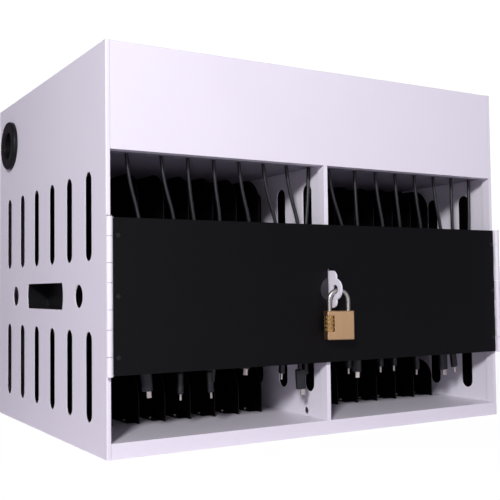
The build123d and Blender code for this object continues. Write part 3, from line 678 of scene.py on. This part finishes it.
# Dial numbers: 0 to 9 round each wheel, filled with dark brown enamel. Each wheel is set to another
# number. How the real numbers are made can't be seen.
number_size, number_depth, number_sink = 0.0024, 0.00012, 0.00006
dial_radius, lock_turn = 0.0054, -16
digits_on_wheel, digit_step, enamel_grain_size = 10, 3, 0.5
number_enamel = new_material("dark_brown_number_enamel")
place = add_node(number_enamel, "TexCoord").outputs["Object"]
fill = add_node(
    number_enamel, "TexNoise", {"Vector": place, "Scale": per_metre(enamel_grain_size), "Detail": 1.0}
)
tint = add_node(
    number_enamel, "Mix", {0: fill.outputs[0], 6: linear("1D1410"), 7: linear("33241C")}, data_type="RGBA"
)
surface = add_node(
    number_enamel, "BsdfPrincipled", {"Base Color": tint.outputs[2], "Roughness": 0.45, "IOR": 1.5}
)
add_node(number_enamel, "OutputMaterial", {"Surface": surface.outputs[0]})
up = Vector((0, 0, 1))
for number in range(1, dial_count + 1):
    low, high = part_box(f"padlock_dial_{number}")
    hub = (low + high) / 2
    bm = bmesh.new()
    for digit in range(digits_on_wheel):
        word = bpy.data.curves.new(f"digit_{digit}", "FONT")
        word.body = str((digit + digit_step * number) % digits_on_wheel)
        word.size = number_size
        word.extrude = number_depth / 2
        word.align_x, word.align_y = "CENTER", "CENTER"
        drawn = bpy.data.objects.new(f"digit_{digit}", word)
        bpy.context.scene.collection.objects.link(drawn)
        bpy.context.view_layer.update()
        mesh = bpy.data.meshes.new_from_object(drawn)
        bpy.data.objects.remove(drawn)
        turn = radians(lock_turn - 90) + digit * tau / digits_on_wheel
        outward = Vector((cos(turn), sin(turn), 0))
        facing = Matrix((up.cross(outward), up, outward)).transposed().to_4x4()
        seat = hub + outward * (dial_radius + number_depth / 2 - number_sink)
        mesh.transform(Matrix.Translation(seat) @ facing)
        bm.from_mesh(mesh)
    bmesh.ops.remove_doubles(bm, verts=bm.verts, dist=1e-7)
    make_piece(bm, f"dial_{number}_numbers", number_enamel, f"dial_{number}")

# Studio floor: pale matt paint that glows to the camera only, so that it fades into the white
# background and still takes a soft shadow.
floor_size, floor_glow, glow_share = 12, 1.1, 0.86
floor_paint = new_material("pale_studio_floor")
seen = add_node(floor_paint, "LightPath").outputs["Is Camera Ray"]
share = add_node(floor_paint, "Math", {0: seen, 1: glow_share}, operation="MULTIPLY")
matt = add_node(floor_paint, "BsdfDiffuse", {"Color": linear("D9D5DD")})
glow = add_node(floor_paint, "Emission", {"Color": linear("FFFFFF"), "Strength": floor_glow})
mixed = add_node(floor_paint, "MixShader", {0: share.outputs[0], 1: matt.outputs[0], 2: glow.outputs[0]})
add_node(floor_paint, "OutputMaterial", {"Surface": mixed.outputs[0]})


def flat_sheet(name, width, depth, turn, middle, material):
    """A flat square-cornered sheet for the studio, with its place in its mesh."""
    bm = bmesh.new()
    bmesh.ops.create_grid(bm, x_segments=1, y_segments=1, size=0.5)
    bmesh.ops.scale(bm, verts=bm.verts, vec=(width, depth, 1))
    bmesh.ops.transform(bm, matrix=Matrix.Translation(middle) @ turn, verts=bm.verts)
    mesh = bpy.data.meshes.new(name)
    bm.to_mesh(mesh)
    bm.free()
    sheet = bpy.data.objects.new(name, mesh)
    bpy.context.scene.collection.objects.link(sheet)
    dress(material, sheet)


flat_sheet("floor", floor_size, floor_size, Matrix.Identity(4), (0, 0, 0), floor_paint)

# Black flags: two in the thickness of each side panel, so that only the slots uncover them. From
# inside the slots look out on a dark room, as in the photograph, and from outside no flag shows.
flag_inset, flag_depth, flag_height, flag_levels = 0.0006, 0.32, 0.1, (0.074, 0.233)
black_flag = new_material("black_studio_flag")
from_outside = add_node(black_flag, "NewGeometry").outputs["Backfacing"]
clear = add_node(black_flag, "BsdfTransparent")
black = add_node(black_flag, "BsdfDiffuse", {"Color": linear("050506")})
one_way = add_node(black_flag, "MixShader", {0: from_outside, 1: black.outputs[0], 2: clear.outputs[0]})
add_node(black_flag, "OutputMaterial", {"Surface": one_way.outputs[0]})
left_face, right_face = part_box("left_side_panel")[0].x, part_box("right_side_panel")[1].x
for name, at_x, inward in (("left", left_face + flag_inset, 1), ("right", right_face - flag_inset, -1)):
    stand_up = Matrix.Rotation(radians(90) * inward, 4, "Y")
    for count, level in enumerate(flag_levels, start=1):
        middle = (at_x, 0, level)
        flat_sheet(f"{name}_flag_{count}", flag_height, flag_depth, stand_up, middle, black_flag)

# Surround and lamps: a lavender white room, dimmer behind, that looks pure white to the camera. One
# soft lamp stands near the camera on the left, and a dim wide one in front is there for the brass and
# the door to mirror.
room_in_front, room_behind, backdrop_glow = 0.3, 0.18, 1.05
world = bpy.data.worlds.new("white_surround")
bpy.context.scene.world = world
world.use_nodes = True
world.node_tree.nodes.clear()
towards = add_node(world, "SeparateXYZ", {0: add_node(world, "TexCoord").outputs["Generated"]})
falling_off = add_node(
    world,
    "MapRange",
    {"Value": towards.outputs["Y"], "From Min": -1, "To Min": room_in_front, "To Max": room_behind},
)
room = add_node(world, "Background", {"Color": linear("E8DFF2"), "Strength": falling_off.outputs[0]})
backdrop = add_node(world, "Background", {"Color": linear("FFFFFF"), "Strength": backdrop_glow})
seen = add_node(world, "LightPath").outputs["Is Camera Ray"]
either = add_node(world, "MixShader", {0: seen, 1: room.outputs[0], 2: backdrop.outputs[0]})
add_node(world, "OutputWorld", {"Surface": either.outputs[0]})

cabinet_middle = Vector((0, 0, 0.2))
for name, stand, size, watts in (
    ("key_lamp", Vector((-1.4, -1.75, 1.0)), 0.28, 40),
    ("front_lamp", Vector((-0.05, -2.5, 0.35)), 1.1, 4),
):
    lamp_data = bpy.data.lights.new(name, "AREA")
    lamp_data.shape = "SQUARE"
    lamp_data.size = size
    lamp_data.energy = watts
    lamp = bpy.data.objects.new(name, lamp_data)
    bpy.context.scene.collection.objects.link(lamp)
    lamp.location = stand
    lamp.rotation_mode = "QUATERNION"
    lamp.rotation_quaternion = (cabinet_middle - stand).to_track_quat("-Z", "Y")

# Camera: a short telephoto from the front left, just above the handle, as in the photograph.
eye = Vector((-0.5524, -0.953, 0.1585))
yaw, pitch, roll = radians(30.85), radians(2.66), radians(-0.66)
ahead = Vector((sin(yaw) * cos(pitch), cos(yaw) * cos(pitch), sin(pitch)))
level = Vector((cos(yaw), -sin(yaw), 0))
rise = level.cross(ahead)
right = cos(roll) * level + sin(roll) * rise
top = cos(roll) * rise - sin(roll) * level
camera_data = bpy.data.cameras.new("camera")
camera_data.sensor_width = 36
camera_data.lens = 61.24
camera_data.clip_start, camera_data.clip_end = 0.01, 50
camera = bpy.data.objects.new("camera", camera_data)
bpy.context.scene.collection.objects.link(camera)
camera.matrix_world = Matrix.Translation(eye) @ Matrix((right, top, -ahead)).transposed().to_4x4()
bpy.context.scene.camera = camera
bpy.context.scene.view_settings.view_transform = "Standard"
